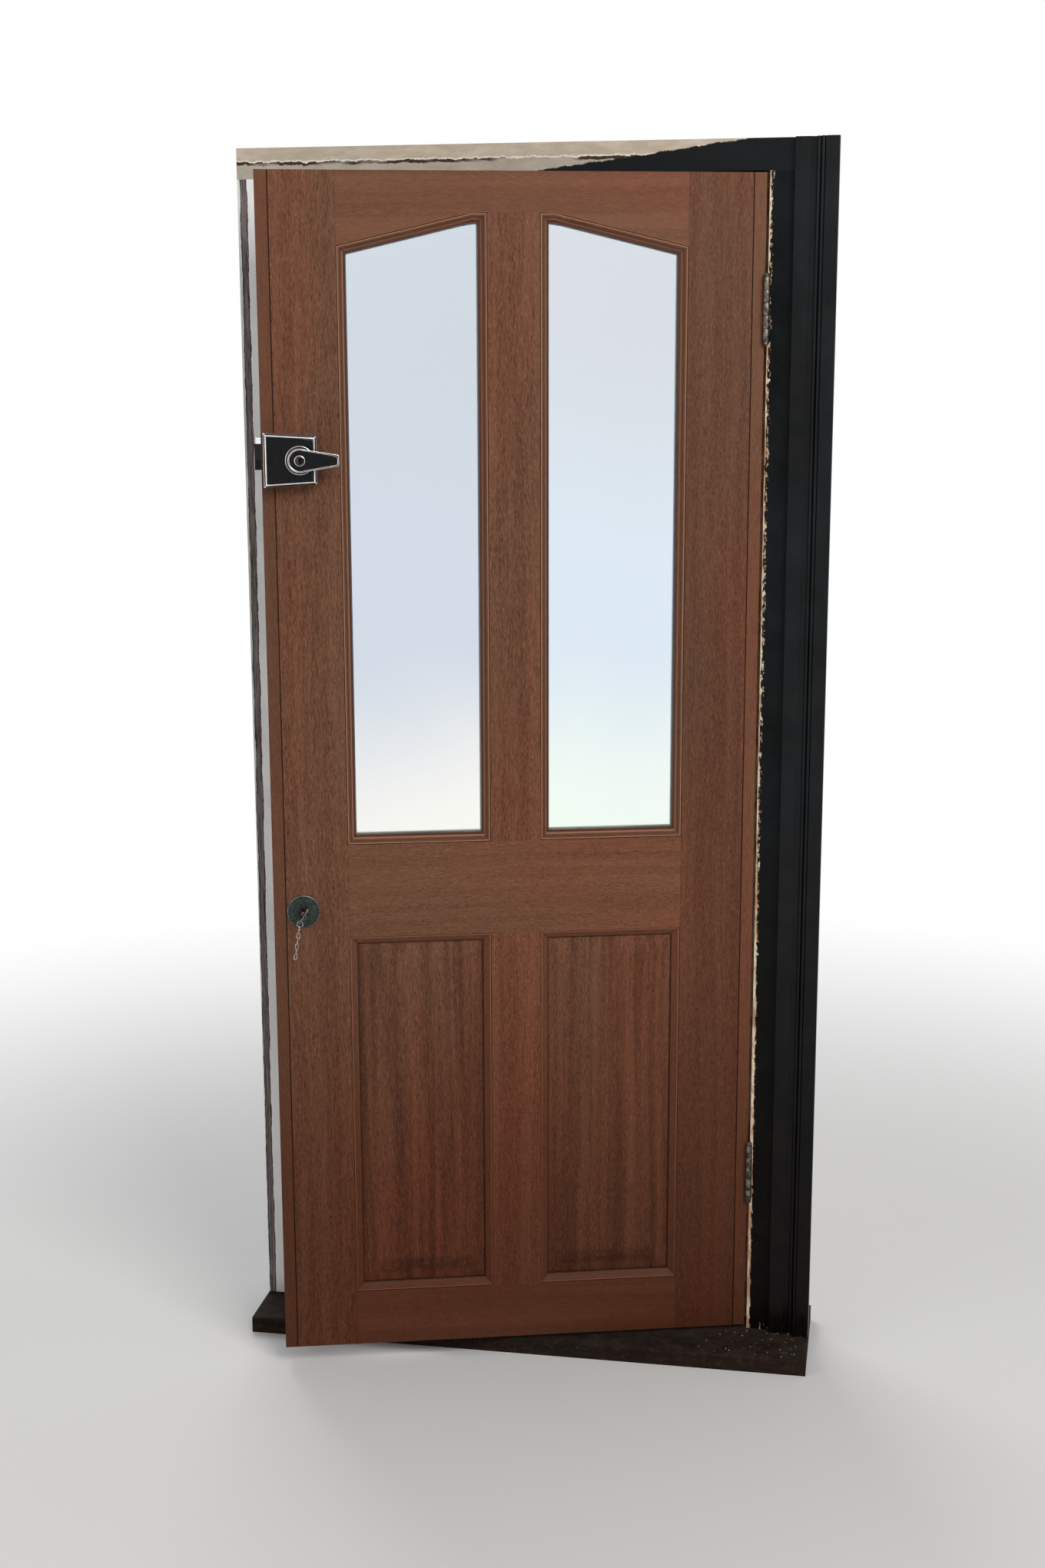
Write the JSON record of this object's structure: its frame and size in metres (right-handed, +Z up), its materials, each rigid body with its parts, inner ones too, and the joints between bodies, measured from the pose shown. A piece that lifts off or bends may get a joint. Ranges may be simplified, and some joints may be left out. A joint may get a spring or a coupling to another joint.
{
  "type": "panelled front door with frame",
  "caption": "Hardwood front door ajar in its rebated frame: swept-head double-glazed lights over raised panels, butt hinges, rim night latch and keyed mortice deadlock.",
  "frame": {"origin": "on the underside of the threshold, below the middle of the doorway's width and frame depth", "axes": "+Z up, -Y towards the room, +X towards the hinge jamb as seen from the room"},
  "size_m": [0.994, 0.3701, 2.069],
  "materials": {
    "door_wood": "satin clear finish over reddish hardwood, open grain",
    "lipping_wood": "satin clear finish, slightly lighter strip",
    "frame_paint": "worn near-black gloss paint on softwood",
    "lock_jamb_paint": "worn greenish-white paint, chipped to dark wood",
    "threshold_wood": "worn dusty dark timber",
    "glass": "satin, obscured",
    "spacer": "dark warm-edge spacer",
    "chrome": "polished",
    "black_enamel": "gloss black",
    "hinge_steel": "dull zinc-plated",
    "screw_steel": "plated steel",
    "lock_steel": "plain steel",
    "brass": "dull",
    "escutcheon_metal": "dark greenish-grey, rim worn bright",
    "key_steel": "nickel plated"
  },
  "bodies": {
    "frame": {"threshold": "threshold_wood", "frame_head": "frame_paint", "lock_jamb": "lock_jamb_paint", "hinge_jamb": "frame_paint", "hinge_side_architrave": "frame_paint", "upper_hinge_frame_plate": "hinge_steel", "upper_hinge_pin": "hinge_steel", "lower_hinge_frame_plate": "hinge_steel", "lower_hinge_pin": "hinge_steel", "frame_hinge_screws": "screw_steel", "latch_keep": "chrome", "latch_keep_cover": "black_enamel", "deadlock_strike_plate": "lock_steel", "jamb_lock_screws": "screw_steel"},
    "latch_bolt": {"latch_bolt": "brass"},
    "turn_lever": {"turn_lever": "chrome", "lever_inlay": "black_enamel", "inside_cylinder": "brass"},
    "deadbolt": {"deadbolt": "brass"},
    "key": {"key": "key_steel", "key_chain": "key_steel"},
    "leaf": {"bottom_rail": "door_wood", "deadlock_case": "lock_steel", "deadlock_forend": "brass", "deadlock_screws": "screw_steel", "hinge_stile": "door_wood", "hinge_stile_lipping": "lipping_wood", "inner_panel_mouldings": "door_wood", "inside_escutcheon": "escutcheon_metal", "leaf_hinge_screws": "screw_steel", "left_inner_bead": "door_wood", "left_inner_pane": "glass", "left_outer_bead": "door_wood", "left_outer_pane": "glass", "left_panel": "door_wood", "left_spacer_bar": "spacer", "lock_stile": "door_wood", "lock_stile_lipping": "lipping_wood", "lower_hinge_leaf_plate": "hinge_steel", "lower_muntin": "door_wood", "mid_rail": "door_wood", "night_latch_back_plate": "lock_steel", "night_latch_case": "chrome", "night_latch_face": "black_enamel", "night_latch_screws": "screw_steel", "outer_panel_mouldings": "door_wood", "outside_escutcheon": "brass", "right_inner_bead": "door_wood", "right_inner_pane": "glass", "right_outer_bead": "door_wood", "right_outer_pane": "glass", "right_panel": "door_wood", "right_spacer_bar": "spacer", "rim_cylinder": "brass", "rim_cylinder_ring": "brass", "top_rail": "door_wood", "upper_hinge_leaf_plate": "hinge_steel", "upper_muntin": "door_wood"}
  },
  "joints": [
    {"name": "door_swing", "type": "hinge", "parent": "frame", "child": "leaf", "pos_m": [0.408, -0.0535, 1], "axis": [0, 0, 1], "range_deg": [-16, 74]},
    {"name": "latch_bolt_slide", "type": "slide", "parent": "leaf", "child": "latch_bolt", "axis": [-0.9613, -0.2756, 0], "range_m": [0, 0.016]},
    {"name": "lever_turn", "type": "hinge", "parent": "leaf", "child": "turn_lever", "pos_m": [-0.30735, -0.29243, 1.5695], "axis": [0.2756, -0.9613, 0], "range_deg": [0, 40], "stiffness_Nm_per_rad": 0.3, "springref_deg": -20.05},
    {"name": "key_turn", "type": "hinge", "parent": "leaf", "child": "key", "pos_m": [-0.32902, -0.2586, 0.822], "axis": [0.2756, -0.9613, 0], "range_deg": [-30, 330]},
    {"name": "deadbolt_slide", "type": "slide", "parent": "leaf", "child": "deadbolt", "axis": [-0.9613, -0.2756, 0], "range_m": [-0.00117, 0.01283]}
  ],
  "couplings": [
    {"joint": "key_turn", "follows": "deadbolt_slide", "rad_per_m": 448.8}
  ]
}
